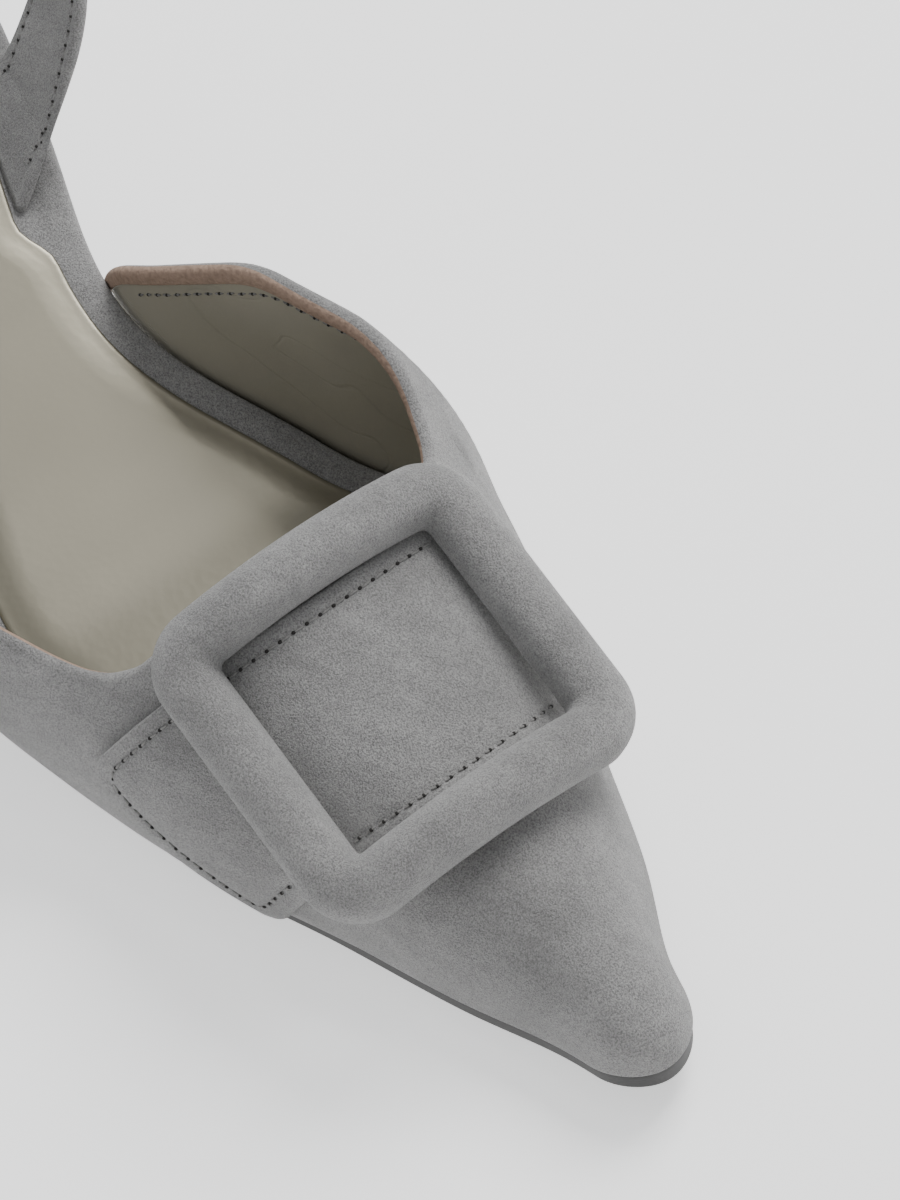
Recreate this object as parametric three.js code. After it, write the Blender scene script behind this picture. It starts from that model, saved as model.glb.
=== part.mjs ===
// Women's slingback pump with a pointed toe, right foot. Millimetres.
// +X points to the toe, +Y to the inner side of the foot and +Z up.
// The origin is the middle of the heel's top lift, on the floor.

import * as THREE from 'three';
import { mergeVertices } from 'three/addons/utils/BufferGeometryUtils.js';

// Driving dimensions
const LENGTH = 235;           // back of the heel seat to the toe tip, along the floor
const HEEL_HEIGHT = 52;       // floor to the underside of the insole, at the back
const BALL_WIDTH = 72;        // the upper across the ball, at its foot
const INSTEP_HEIGHT = 42;     // top of the vamp over the insole's underside, at the throat
const TOE_SPRING = 5;         // rise of the sole at the toe tip
const WALL = 1.6;             // suede and lining of the upper
const GAP = 0.3;              // clearance between pieces that meet

const SOLE_THICK = 2.8;
const SOLE_REVEAL = 0.5;      // how far the upper overhangs the sole's edge
const INSOLE_THICK = 3.2;
const INSOLE_EDGE_ROUND = 1.0;
const SOCK_THICK = 0.8;
const SOCK_MARGIN = 4.6;      // suede margin of the insole beside the sock

const HEEL_BREAST = 43;       // back of the seat to the heel's breast, along the floor
const HEEL_TIP_INSET = 19;    // back of the seat to the middle of the top lift
const LIFT_LENGTH = 13;
const LIFT_WIDTH = 12;
const LIFT_THICK = 5;

const HEEL_ROUND = 26;        // length of the round back of the seat
const TOE_ROUND = 7.5;        // length of the round toe tip, seen from above
const NOSE_ROUND = 11;        // length of the round toe tip, seen from the side
const SECTION_POWER = 2.3;    // 2 is an ellipse, more is squarer
const SWELL_SHAPE = 0.7;      // under 1 the wall leans out most low down

const BELT_WIDTH = 32.2;
const BELT_THICK = 1.5;
const BELT_PLACE = 0.783;     // middle of the belt on the top of the vamp, share of LENGTH
const BELT_REAR_SWEEP = 21;   // how far the belt's rear edge runs back as it goes down the sides
const BELT_FRONT_SWEEP = 16;  // the same for its front edge
const TAB_CORNER = 4;         // corner radius of the belt's free end

const FRAME_ACROSS = 48;      // outer size over the vamp
const FRAME_ALONG = 46;       // outer size from throat to toe
const FRAME_BAR = 8.0;
const FRAME_HEIGHT = 5.2;
const FRAME_CORNER = 8;       // outer corner radius
const FRAME_PLACE = 0.783;    // middle of the frame, share of LENGTH
const FRAME_BEND = 42;        // radius that the frame is bent to across the vamp

const STRAP_WIDTH = 13;
const STRAP_THICK = 1.8;
const STRAP_REACH = 92;       // root to the back of the loop, along the foot
const STRAP_RISE = 50;        // root to the middle of the strap at the back
const STRAP_OUT = 36;         // half width of the loop
const STRAP_ROOT_AT = 0.320;  // middle of the root, share of LENGTH
const STRAP_ROOT = 15.5;      // length of the root along the insole
const STRAP_INSET = 6.7;      // root to the insole's edge

// Plan of the upper at its foot. at: share of LENGTH, inner and outer: half widths, share of BALL_WIDTH
const PLAN = [
  { at: 0.00, inner: 0.350, outer: 0.350 },
  { at: 0.10, inner: 0.360, outer: 0.362 },
  { at: 0.18, inner: 0.345, outer: 0.376 },
  { at: 0.30, inner: 0.266, outer: 0.362 },
  { at: 0.42, inner: 0.163, outer: 0.385 },
  { at: 0.54, inner: 0.317, outer: 0.486 },
  { at: 0.63, inner: 0.450, outer: 0.441 },
  { at: 0.70, inner: 0.413, outer: 0.391 },
  { at: 0.80, inner: 0.303, outer: 0.273 },
  { at: 0.88, inner: 0.217, outer: 0.190 },
  { at: 0.95, inner: 0.120, outer: 0.112 },
  { at: 1.00, inner: 0.085, outer: 0.080 },
];

// Underside of the sole. at: share of LENGTH, rise: share of the height at the back
const SPINE = [
  { at: 0.00, rise: 1.000 },
  { at: 0.10, rise: 0.945 },
  { at: 0.20, rise: 0.840 },
  { at: 0.30, rise: 0.670 },
  { at: 0.40, rise: 0.450 },
  { at: 0.50, rise: 0.220 },
  { at: 0.58, rise: 0.060 },
  { at: 0.65, rise: 0.000 },
  { at: 0.80, rise: 0.000 },
  { at: 1.00, rise: 0.000 },
];
const SPRING_START = 0.80;    // share of LENGTH where the sole starts to rise to the toe

// The vamp over the insole's underside. at: share of LENGTH, rise: share of INSTEP_HEIGHT,
// inner and outer: how far the wall leans out over its foot on each side, share of its half width
const CROWN = [
  { at: 0.36, rise: 2.000, inner: 0.100, outer: 0.100 },
  { at: 0.50, rise: 1.800, inner: 0.129, outer: 0.143 },
  { at: 0.58, rise: 1.480, inner: 0.148, outer: 0.187 },
  { at: 0.66, rise: 1.000, inner: 0.030, outer: 0.128 },
  { at: 0.72, rise: 0.840, inner: 0.024, outer: 0.120 },
  { at: 0.78, rise: 0.700, inner: 0.028, outer: 0.123 },
  { at: 0.84, rise: 0.555, inner: 0.020, outer: 0.043 },
  { at: 0.90, rise: 0.410, inner: 0.020, outer: 0.020 },
  { at: 0.95, rise: 0.300, inner: 0.010, outer: 0.010 },
  { at: 1.00, rise: 0.220, inner: 0.000, outer: 0.000 },
];

// Top line of the vamp. turn: 0 at the foot of the wall, 1 on top;
// inner and outer: where it runs on each side, share of LENGTH
const TOP_LINE = [
  { turn: 0.00, inner: 0.400, outer: 0.420 },
  { turn: 0.06, inner: 0.428, outer: 0.455 },
  { turn: 0.12, inner: 0.459, outer: 0.490 },
  { turn: 0.20, inner: 0.498, outer: 0.535 },
  { turn: 0.28, inner: 0.533, outer: 0.583 },
  { turn: 0.35, inner: 0.578, outer: 0.629 },
  { turn: 0.40, inner: 0.618, outer: 0.652 },
  { turn: 0.45, inner: 0.655, outer: 0.666 },
  { turn: 0.53, inner: 0.677, outer: 0.678 },
  { turn: 0.68, inner: 0.686, outer: 0.686 },
  { turn: 1.00, inner: 0.694, outer: 0.694 },
];

// Smooth monotone curve through one column of a table
function follow(rows, key, column) {
  const slopes = rows.slice(1).map((row, i) => (row[column] - rows[i][column]) / (row[key] - rows[i][key]));
  const tangents = rows.map((row, i) => {
    if (i === 0) return slopes[0];
    if (i === rows.length - 1) return slopes[i - 1];
    const product = slopes[i - 1] * slopes[i];
    return product > 0 ? 2 * product / (slopes[i - 1] + slopes[i]) : 0;
  });
  return (value) => {
    let i = 0;
    while (i < rows.length - 2 && value > rows[i + 1][key]) i += 1;
    const span = rows[i + 1][key] - rows[i][key];
    const t = THREE.MathUtils.clamp((value - rows[i][key]) / span, 0, 1);
    const near = rows[i][column];
    const far = rows[i + 1][column];
    return near * (1 + 2 * t) * (1 - t) ** 2 + far * t * t * (3 - 2 * t)
      + span * (tangents[i] * t * (1 - t) ** 2 - tangents[i + 1] * t * t * (1 - t));
  };
}

const planInner = follow(PLAN, 'at', 'inner');
const planOuter = follow(PLAN, 'at', 'outer');
const spineRise = follow(SPINE, 'at', 'rise');
const crownRise = follow(CROWN, 'at', 'rise');
const swellInner = follow(CROWN, 'at', 'inner');
const swellOuter = follow(CROWN, 'at', 'outer');
const topLineInner = follow(TOP_LINE, 'turn', 'inner');
const topLineOuter = follow(TOP_LINE, 'turn', 'outer');

// Shares of LENGTH become x, counted from the top lift's middle
const xAt = (share) => share * LENGTH - HEEL_TIP_INSET;
const shareAt = (x) => (x + HEEL_TIP_INSET) / LENGTH;

// 0 at the end of a round stretch, 1 from its start on, along a quarter ellipse
const roundEnd = (distance, reach) => {
  const t = THREE.MathUtils.clamp(distance / reach, 0, 1);
  return Math.sqrt(1 - (1 - t) ** 2);
};

// Half width of the upper's foot; side is 1 for the inner side and -1 for the outer
function halfWidth(x, side) {
  const along = shareAt(x) * LENGTH;
  const share = side > 0 ? planInner(shareAt(x)) : planOuter(shareAt(x));
  return share * BALL_WIDTH * roundEnd(along, HEEL_ROUND) * roundEnd(LENGTH - along, TOE_ROUND);
}

const soleLow = (x) => {
  const share = shareAt(x);
  const spring = Math.max(0, share - SPRING_START) / (1 - SPRING_START);
  return spineRise(share) * (HEEL_HEIGHT - SOLE_THICK - GAP) + TOE_SPRING * spring ** 2;
};
const boardLow = (x) => soleLow(x) + SOLE_THICK + GAP;
const boardHigh = (x) => boardLow(x) + INSOLE_THICK;

const wallSwell = (x, side) => (side > 0 ? swellInner : swellOuter)(shareAt(x));

function crownHeight(x) {
  return crownRise(shareAt(x)) * INSTEP_HEIGHT * roundEnd(xAt(1) - x, NOSE_ROUND);
}

// A curve moved inwards by a distance, looked up by x. The curve runs along +X.
function movedIn(curve, start, end, distance, count = 160) {
  const points = [];
  for (let i = 0; i <= count; i += 1) {
    const x = start + (end - start) * (1 - Math.cos(Math.PI * i / count)) / 2;
    points.push(new THREE.Vector2(x, curve(x)));
  }
  const moved = points.map((point, i) => {
    const before = points[Math.max(0, i - 1)];
    const after = points[Math.min(count, i + 1)];
    const tangent = after.clone().sub(before).normalize();
    return new THREE.Vector2(point.x + distance * tangent.y, point.y - distance * tangent.x);
  });
  moved[0].set(start + distance, 0);
  moved[count].set(end - distance, 0);
  return (x) => {
    if (x <= moved[0].x || x >= moved[count].x) return 0;
    let i = 0;
    while (moved[i + 1].x < x) i += 1;
    const t = (x - moved[i].x) / (moved[i + 1].x - moved[i].x);
    return Math.max(0, moved[i].y + t * (moved[i + 1].y - moved[i].y));
  };
}

// Half width of a plan that lies a distance inside the upper's foot, for both sides
function planInside(distance) {
  const inner = movedIn((x) => halfWidth(x, 1), xAt(0), xAt(1), distance);
  const outer = movedIn((x) => halfWidth(x, -1), xAt(0), xAt(1), distance);
  return (x, side) => (side > 0 ? inner(x) : outer(x));
}

// x values between two ends, close together at both
const spread = (start, end, count) => Array.from({ length: count + 1 }, (_, i) => (
  start + (end - start) * (1 - Math.cos(Math.PI * i / count)) / 2
));

// Closed skin over rings of points. Each ring is a loop whose points pair up across its end,
// first with last, so the two end rings close with strips. A looped skin joins its ends instead.
function skin(rings, looped = false) {
  const count = rings[0].length;
  const corners = [];
  const quad = (a, b, c, d) => corners.push(a, b, c, a, c, d);
  const last = looped ? rings.length : rings.length - 1;
  for (let i = 0; i < last; i += 1) {
    const here = rings[i];
    const next = rings[(i + 1) % rings.length];
    for (let k = 0; k < count; k += 1) {
      const m = (k + 1) % count;
      quad(here[k], here[m], next[m], next[k]);
    }
  }
  if (!looped) {
    for (let k = 0; k < count / 2 - 1; k += 1) {
      const a = count - 1 - k;
      const first = rings[0];
      const end = rings[rings.length - 1];
      quad(first[k], first[a], first[a - 1], first[k + 1]);
      quad(end[k], end[k + 1], end[a - 1], end[a]);
    }
  }
  const loose = new THREE.BufferGeometry().setFromPoints(corners);
  const welded = mergeVertices(loose, 1e-3);
  const index = welded.getIndex().array;
  const kept = [];
  for (let i = 0; i < index.length; i += 3) {
    const [a, b, c] = [index[i], index[i + 1], index[i + 2]];
    if (a !== b && b !== c && c !== a) kept.push(a, b, c);
  }
  const place = welded.getAttribute('position');
  const corner = (i) => new THREE.Vector3().fromBufferAttribute(place, i);
  let volume = 0;
  for (let i = 0; i < kept.length; i += 3) {
    volume += corner(kept[i]).dot(corner(kept[i + 1]).cross(corner(kept[i + 2])));
  }
  if (volume < 0) kept.reverse();
  welded.setIndex(kept);
  welded.computeVertexNormals();
  return welded;
}

const point = (x, y, z) => new THREE.Vector3(x, y, z);

// A plate along the foot: rings of bottom edge, rounded top edge and back
function plate({ start, end, count, half, low, high, round }) {
  return skin(spread(start, end, count).map((x) => {
    const inner = half(x, 1);
    const outer = half(x, -1);
    const cut = Math.min(round, inner, outer);
    return [
      point(x, -outer, low(x)),
      point(x, inner, low(x)),
      point(x, inner, high(x) - round),
      point(x, inner - cut, high(x)),
      point(x, -outer + cut, high(x)),
      point(x, -outer, high(x) - round),
    ];
  }));
}

// The vamp's section at x: turn runs from 0 at the outer foot over the top to 1 at the inner foot
function sectionPoint(x, turn, half, crown, foot) {
  const angle = Math.PI * turn;
  const side = turn < 0.5 ? -1 : 1;
  const across = Math.abs(Math.cos(angle)) ** (2 / SECTION_POWER);
  const up = Math.sin(angle) ** (2 / SECTION_POWER);
  const swell = 1 + wallSwell(x, side) * Math.sin(Math.PI * up ** SWELL_SHAPE);
  return point(x, side * half(x, side) * across * swell, foot(x) + crown(x) * up);
}

const insidePlan = planInside(WALL);
const insideCrown = movedIn(crownHeight, xAt(0.3), xAt(1), WALL);
const turnFromFoot = (turn) => 1 - Math.abs(1 - 2 * turn);
const topLineAt = (turn) => (turn < 0.5 ? topLineOuter : topLineInner)(turnFromFoot(turn));

// A point on the vamp, raised by a distance off its outer face
function vampPoint(x, turn, raise = 0) {
  return sectionPoint(x, turn, (at, side) => halfWidth(at, side) + raise, (at) => crownHeight(at) + raise, boardLow);
}

const rootX = xAt(STRAP_ROOT_AT);
const strapPlan = planInside(WALL + GAP + STRAP_INSET);
// Along the strap's root on the insole, for each side
const rootPoint = (x, side) => point(x, side * strapPlan(x, side), boardHigh(x) + 2 * GAP);

function makeUpper() {
  const steps = 30;
  const turns = 34;
  const rings = [];
  for (let i = 0; i <= steps; i += 1) {
    const t = Math.sin(Math.PI / 2 * i / steps);
    const outside = [];
    const inside = [];
    for (let k = 0; k <= turns; k += 1) {
      const turn = k / turns;
      const edge = xAt(topLineAt(turn));
      const outX = edge + (xAt(1) - edge) * t;
      const inX = edge + (xAt(1) - WALL - edge) * t;
      outside.push(sectionPoint(outX, turn, halfWidth, crownHeight, boardLow));
      inside.push(sectionPoint(inX, turn, insidePlan, insideCrown, boardLow));
    }
    rings.push([...outside, ...inside.reverse()]);
  }
  return skin(rings);
}

function makeInsole() {
  // Under the vamp the board also stays clear of the wall's falling inner face at the toe
  const plan = planInside(WALL + GAP);
  const half = (x, side) => {
    if (shareAt(x) < CROWN[1].at) return plan(x, side);
    const lift = Math.min(1, INSOLE_THICK / Math.max(INSOLE_THICK, insideCrown(x)));
    const across = (1 - lift ** SECTION_POWER) ** (1 / SECTION_POWER);
    return Math.min(plan(x, side), Math.max(0, insidePlan(x, side) * across - GAP));
  };
  const start = xAt(0) + WALL + GAP;
  const end = xAt(1) - NOSE_ROUND;
  return plate({
    start, end, count: 44, half: (x, side) => half(x, side) * roundEnd(end - x, TOE_ROUND),
    low: boardLow, high: boardHigh, round: INSOLE_EDGE_ROUND,
  });
}

function makeSock() {
  // The sock's edge draws in along the strap's roots, which come up beside it
  const plan = planInside(WALL + GAP + SOCK_MARGIN);
  const notch = STRAP_INSET - SOCK_MARGIN + STRAP_THICK / 2 + 2 * GAP;
  const beside = (x) => {
    const away = Math.abs(x - rootX) - STRAP_ROOT / 2;
    return 1 - THREE.MathUtils.smoothstep(away, GAP, GAP + 2 * notch);
  };
  const half = (x, side) => plan(x, side) - notch * beside(x);
  const start = xAt(0) + WALL + GAP + SOCK_MARGIN;
  const end = xAt(1) - NOSE_ROUND - 3 * SOCK_MARGIN;
  const low = (x) => boardHigh(x) + GAP;
  return plate({
    start, end, count: 36, half: (x, side) => half(x, side) * roundEnd(end - x, TOE_ROUND),
    low, high: (x) => low(x) + SOCK_THICK, round: SOCK_THICK / 2,
  });
}

function makeOutsole() {
  // Under the waist, where no wall covers it, the sole draws in under the insole
  const forefoot = planInside(SOLE_REVEAL);
  const waist = planInside(WALL + GAP + 2 * SOLE_REVEAL);
  const drawn = (x) => THREE.MathUtils.smoothstep(shareAt(x), TOP_LINE[0].inner, TOP_LINE[3].outer);
  const start = xAt(0) + HEEL_BREAST + GAP;
  return plate({
    start, end: xAt(1) - SOLE_REVEAL, count: 44,
    half: (x, side) => waist(x, side) + (forefoot(x, side) - waist(x, side)) * drawn(x),
    low: soleLow, high: (x) => soleLow(x) + SOLE_THICK, round: SOLE_THICK / 4,
  });
}

// Points round a D, from the back along one side to the front: along 0 to 1, wide 0 to 1
const D_STEPS = [0, 0.02, 0.08, 0.18, 0.32, 0.5, 0.72, 0.9, 1];
const dWidth = (along) => roundEnd(along, 0.55);

function heelRing(back, front, halfAt, z) {
  const ring = D_STEPS.map((along) => {
    const x = back + (front - back) * along;
    return { x, along };
  });
  const outer = ring.map(({ x, along }) => point(x, -halfAt(along, -1), z(x, along)));
  const inner = ring.map(({ x, along }) => point(x, halfAt(along, 1), z(x, along)));
  return [...outer, ...inner.reverse()];
}

function makeHeel() {
  const seat = planInside(WALL + 2 * GAP);
  const seatBack = xAt(0) + WALL + 2 * GAP;
  const seatFront = xAt(0) + HEEL_BREAST;
  const bottom = LIFT_THICK + GAP;
  const underSole = 1 - (SOLE_THICK + GAP) / (boardLow(seatFront) - bottom);
  const levels = 16;
  const rings = [];
  for (let i = 0; i <= levels; i += 1) {
    const t = i / levels;
    // The back curves in quickly under the seat. The breast sweeps forward close to the sole,
    // then stands upright beside the sole's end
    const backMix = t ** 2.2;
    const frontMix = Math.min(1, t / underSole) ** 4.0;
    const wideMix = t ** 2.6;
    const back = THREE.MathUtils.lerp(-LIFT_LENGTH / 2, seatBack, backMix);
    const front = THREE.MathUtils.lerp(LIFT_LENGTH / 2, seatFront, frontMix);
    const seatX = (along) => seatBack + (seatFront - seatBack) * along;
    const halfAt = (along, side) => (
      THREE.MathUtils.lerp(LIFT_WIDTH / 2 * dWidth(along), seat(seatX(along), side), wideMix)
    );
    const z = (x, along) => bottom + (boardLow(seatX(along)) - GAP - bottom) * t;
    rings.push(heelRing(back, front, halfAt, z));
  }
  return skin(rings);
}

function makeTopLift() {
  const halfAt = (along) => LIFT_WIDTH / 2 * dWidth(along);
  return skin([0, LIFT_THICK].map((z) => (
    heelRing(-LIFT_LENGTH / 2, LIFT_LENGTH / 2, halfAt, () => z)
  )));
}

// The belt's free end runs level with the sole, so it cuts the belt slantwise: its rear corner
// stays higher on the wall than its front corner. Its other end is sewn down under the frame's bar.
const TAB_REAR_TURN = 0.118;
const TAB_FRONT_TURN = 0.010;
const BELT_FAR_TURN = 0.780;

// The belt's middle on the vamp, for its rear edge at wide 0 and its front edge at wide 1
const beltMiddle = (turn, wide) => (
  xAt(BELT_PLACE) - THREE.MathUtils.lerp(BELT_REAR_SWEEP, BELT_FRONT_SWEEP, wide) * (1 - turnFromFoot(turn)) ** 2
);

function makeBelt() {
  const steps = 40;
  const across = 8;
  const wallLength = Math.PI * INSTEP_HEIGHT;
  const row = (i, raise) => Array.from({ length: across + 1 }, (_, k) => {
    const wide = k / across;
    const start = THREE.MathUtils.lerp(TAB_REAR_TURN, TAB_FRONT_TURN, wide);
    const turn = start + (BELT_FAR_TURN - start) * (i / steps) ** 1.2;
    const round = TAB_CORNER * (1 - roundEnd((turn - start) * wallLength, TAB_CORNER));
    const half = BELT_WIDTH / 2 * 0.9 - round;
    return vampPoint(beltMiddle(turn, wide) - half + 2 * half * wide, turn, raise);
  });
  const rings = [];
  for (let i = 0; i <= steps; i += 1) {
    rings.push([...row(i, GAP), ...row(i, GAP + BELT_THICK).reverse()]);
  }
  return skin(rings);
}

// Height over the floor of the vamp, raised by a distance off its outer face
function vampHeight(x, y, raise = 0) {
  const side = Math.sign(y) || 1;
  const half = (halfWidth(x, side) + raise) * (1 + wallSwell(x, side));
  const share = Math.min(1, Math.abs(y) / half);
  return boardLow(x) + (crownHeight(x) + raise) * (1 - share ** SECTION_POWER) ** (1 / SECTION_POWER);
}

// A frame lies on a straight slope along the foot and is bent to a round across it
function makeFrame() {
  const middle = xAt(FRAME_PLACE);
  const reach = FRAME_ALONG / 2 * 0.9;
  const drop = vampHeight(middle - reach, 0) - vampHeight(middle + reach, 0);
  const slope = Math.atan2(drop, 2 * reach);
  const along = new THREE.Vector3(Math.cos(slope), 0, -Math.sin(slope));
  const out = new THREE.Vector3(Math.sin(slope), 0, Math.cos(slope));
  const bent = (a, b, lift) => {
    const angle = b / FRAME_BEND;
    const radius = FRAME_BEND + lift;
    return new THREE.Vector3(middle, 0, 0)
      .addScaledVector(along, a)
      .addScaledVector(out, radius * Math.cos(angle) - FRAME_BEND)
      .add(new THREE.Vector3(0, radius * Math.sin(angle), 0));
  };
  const round = FRAME_CORNER - FRAME_BAR / 2;
  const halfA = FRAME_ALONG / 2 - FRAME_BAR / 2;
  const halfB = FRAME_ACROSS / 2 - FRAME_BAR / 2;
  const route = [];
  const sides = [[1, 1], [-1, 1], [-1, -1], [1, -1]];
  sides.forEach(([signA, signB], q) => {
    for (let i = 0; i <= 5; i += 1) {
      const angle = Math.PI / 2 * (q + i / 5);
      const a = signA * (halfA - round) + round * Math.cos(angle);
      const b = signB * (halfB - round) + round * Math.sin(angle);
      route.push({ a, b, outA: Math.cos(angle), outB: Math.sin(angle) });
    }
    const next = sides[(q + 1) % 4];
    const angle = Math.PI / 2 * (q + 1);
    for (let i = 1; i <= 4; i += 1) {
      const t = i / 5;
      route.push({
        a: THREE.MathUtils.lerp(signA, next[0], t) * (halfA - round) + round * Math.cos(angle),
        b: THREE.MathUtils.lerp(signB, next[1], t) * (halfB - round) + round * Math.sin(angle),
        outA: Math.cos(angle), outB: Math.sin(angle),
      });
    }
  });
  const sectionSteps = 8;
  const rings = route.map(({ a, b, outA, outB }) => {
    const ring = [];
    for (let i = 0; i <= sectionSteps; i += 1) {
      const angle = Math.PI * i / sectionSteps;
      const side = FRAME_BAR / 2 * Math.cos(angle);
      const lift = FRAME_HEIGHT * Math.sin(angle) ** 0.8;
      ring.push(bent(a + outA * side, b + outB * side, lift));
    }
    return ring;
  });
  // The frame comes down until its lowest clearance over the belt is the gap
  const need = Math.max(...rings.flat().map((p) => (
    vampHeight(p.x, p.y, 2 * GAP + BELT_THICK) - p.z
  )));
  rings.flat().forEach((p) => { p.z += need; });
  return skin(rings, true);
}

// The strap's middle line, from its root beside the sock round the heel. turn: 0 at the root,
// 1 at the back; along, rise and out: shares of the loop's size; lean: 0 where the band's width
// lies along the foot, 1 where it stands up
const STRAP = [
  { turn: 0.00, along: 0.00, rise: 0.00, out: 0.000, lean: 0.00 },
  { turn: 0.15, along: 0.02, rise: 0.28, out: 0.400, lean: 0.12 },
  { turn: 0.30, along: 0.12, rise: 0.54, out: 0.720, lean: 0.34 },
  { turn: 0.45, along: 0.32, rise: 0.75, out: 0.930, lean: 0.62 },
  { turn: 0.60, along: 0.58, rise: 0.88, out: 1.000, lean: 0.86 },
  { turn: 0.75, along: 0.81, rise: 0.95, out: 0.840, lean: 0.97 },
  { turn: 0.90, along: 0.97, rise: 0.99, out: 0.410, lean: 1.00 },
  { turn: 1.00, along: 1.00, rise: 1.00, out: 0.000, lean: 1.00 },
];

function makeStrap() {
  const along = follow(STRAP, 'turn', 'along');
  const rise = follow(STRAP, 'turn', 'rise');
  const out = follow(STRAP, 'turn', 'out');
  const lean = follow(STRAP, 'turn', 'lean');
  const steps = 44;
  const stops = [];
  for (let i = 0; i <= 2 * steps; i += 1) {
    const turn = 1 - Math.abs(i / steps - 1);
    const side = i < steps ? -1 : 1;
    const root = rootPoint(rootX, side);
    const fade = 1 - THREE.MathUtils.smoothstep(turn, 0, 1);
    const middle = point(
      rootX - STRAP_REACH * along(turn),
      root.y * fade + side * STRAP_OUT * out(turn),
      root.z + STRAP_RISE * rise(turn),
    );
    stops.push({ middle, turn, side });
  }
  return skin(stops.map(({ middle, turn, side }, i) => {
    const before = stops[Math.max(0, i - 1)].middle;
    const after = stops[Math.min(stops.length - 1, i + 1)].middle;
    const tangent = after.clone().sub(before).normalize();
    const foot = rootPoint(rootX + STRAP_ROOT / 2, side).sub(rootPoint(rootX - STRAP_ROOT / 2, side));
    const width = foot.clone().normalize().lerp(point(0, 0, 1), lean(turn));
    width.addScaledVector(tangent, -width.dot(tangent)).setLength(STRAP_WIDTH);
    const thick = new THREE.Vector3().crossVectors(tangent, width).setLength(STRAP_THICK / 2);
    // At the root the band's end lies flat on the insole
    const free = THREE.MathUtils.smoothstep(turn, 0, 0.14);
    const level = new THREE.Vector3().crossVectors(point(0, 0, 1), foot).setLength(STRAP_THICK / 2);
    width.lerp(foot, 1 - free);
    thick.lerp(level, 1 - free);
    const corner = (w, t) => middle.clone().addScaledVector(width, w / 2).addScaledVector(thick, t);
    return [corner(-1, -1), corner(1, -1), corner(1, 1), corner(-1, 1)];
  }));
}

const suede = { color: 0x8b8a88, roughness: 0.95, metalness: 0 };
const pieces = {
  upper: [makeUpper, suede],
  insole: [makeInsole, suede],
  sock_lining: [makeSock, { color: 0xa8a69c, roughness: 0.35, metalness: 0.3 }],
  outsole: [makeOutsole, { color: 0x1c1b1b, roughness: 0.6, metalness: 0 }],
  heel: [makeHeel, suede],
  heel_top_lift: [makeTopLift, { color: 0x161616, roughness: 0.7, metalness: 0 }],
  buckle_belt: [makeBelt, suede],
  buckle_frame: [makeFrame, suede],
  slingback_strap: [makeStrap, suede],
};

const shoe = new THREE.Group();
for (const [name, [make, finish]] of Object.entries(pieces)) {
  const mesh = new THREE.Mesh(make(), new THREE.MeshStandardMaterial(finish));
  mesh.name = name;
  shoe.add(mesh);
}

export default shoe;
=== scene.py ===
# %% [markdown]
# A women's slingback pump in grey suede, dressed round its CAD frame.
# The frame holds the true sizes, so every piece here is rebuilt from the same shares of the same
# few dimensions, only with a much finer mesh, and then takes the place of its plain solid.
# All shapes are worked out in millimetres and turned into metres when a mesh is written.

# %% Frame
import math
import bmesh
import bpy
import numpy as np
from mathutils import Matrix, Vector


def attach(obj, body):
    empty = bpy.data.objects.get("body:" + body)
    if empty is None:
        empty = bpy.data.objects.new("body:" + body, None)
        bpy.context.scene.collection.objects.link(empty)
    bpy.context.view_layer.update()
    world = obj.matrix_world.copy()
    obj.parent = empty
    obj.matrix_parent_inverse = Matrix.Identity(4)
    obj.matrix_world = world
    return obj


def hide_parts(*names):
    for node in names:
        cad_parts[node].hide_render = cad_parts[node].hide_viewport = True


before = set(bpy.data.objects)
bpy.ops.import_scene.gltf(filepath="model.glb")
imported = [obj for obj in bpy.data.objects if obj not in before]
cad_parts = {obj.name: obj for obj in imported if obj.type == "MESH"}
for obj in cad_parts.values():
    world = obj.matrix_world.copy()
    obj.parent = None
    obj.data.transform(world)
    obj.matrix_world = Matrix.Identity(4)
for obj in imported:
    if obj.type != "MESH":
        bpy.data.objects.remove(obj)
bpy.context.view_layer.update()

# %% [markdown]
# The shoe's driving dimensions. They say what a shoemaker would measure on the last: its length,
# the heel's height, the ball, the instep, and the sizes of the buckle, belt and strap.

# %% Driving dimensions, in millimetres
LENGTH, HEEL_HEIGHT, BALL_WIDTH, INSTEP_HEIGHT = 235, 52, 72, 42
TOE_SPRING, SPRING_START = 5, 0.80
WALL, GAP = 1.6, 0.3
SOLE_THICK, SOLE_REVEAL = 2.8, 0.5
INSOLE_THICK, SOCK_THICK, SOCK_MARGIN = 3.2, 0.8, 4.6
HEEL_BREAST, HEEL_TIP_INSET = 43, 19
LIFT_LENGTH, LIFT_WIDTH, LIFT_THICK = 13, 12, 5
HEEL_ROUND, TOE_ROUND, NOSE_ROUND = 26, 7.5, 11
SECTION_POWER, SWELL_SHAPE = 2.3, 0.7
BELT_WIDTH, BELT_THICK, BELT_PLACE, TAB_CORNER = 32.2, 1.5, 0.783, 4
BELT_REAR_SWEEP, BELT_FRONT_SWEEP = 21, 16
TAB_REAR_TURN, TAB_FRONT_TURN, BELT_FAR_TURN = 0.118, 0.010, 0.780
FRAME_ACROSS, FRAME_ALONG, FRAME_BAR, FRAME_HEIGHT = 48, 46, 8.0, 5.2
FRAME_CORNER, FRAME_PLACE, FRAME_BEND = 8, 0.783, 42
STRAP_WIDTH, STRAP_THICK, STRAP_REACH, STRAP_RISE, STRAP_OUT = 13, 1.8, 92, 50, 36
STRAP_ROOT_AT, STRAP_ROOT, STRAP_INSET = 0.320, 15.5, 6.7
MM = 0.001

# %% [markdown]
# The last's shape lies in short tables: its plan, the line of its underside, the height of the
# vamp along the foot, and the top line that the vamp is cut to. Smooth curves run through them.
# A monotone cubic was chosen because it never swings past the values on either side.

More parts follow.
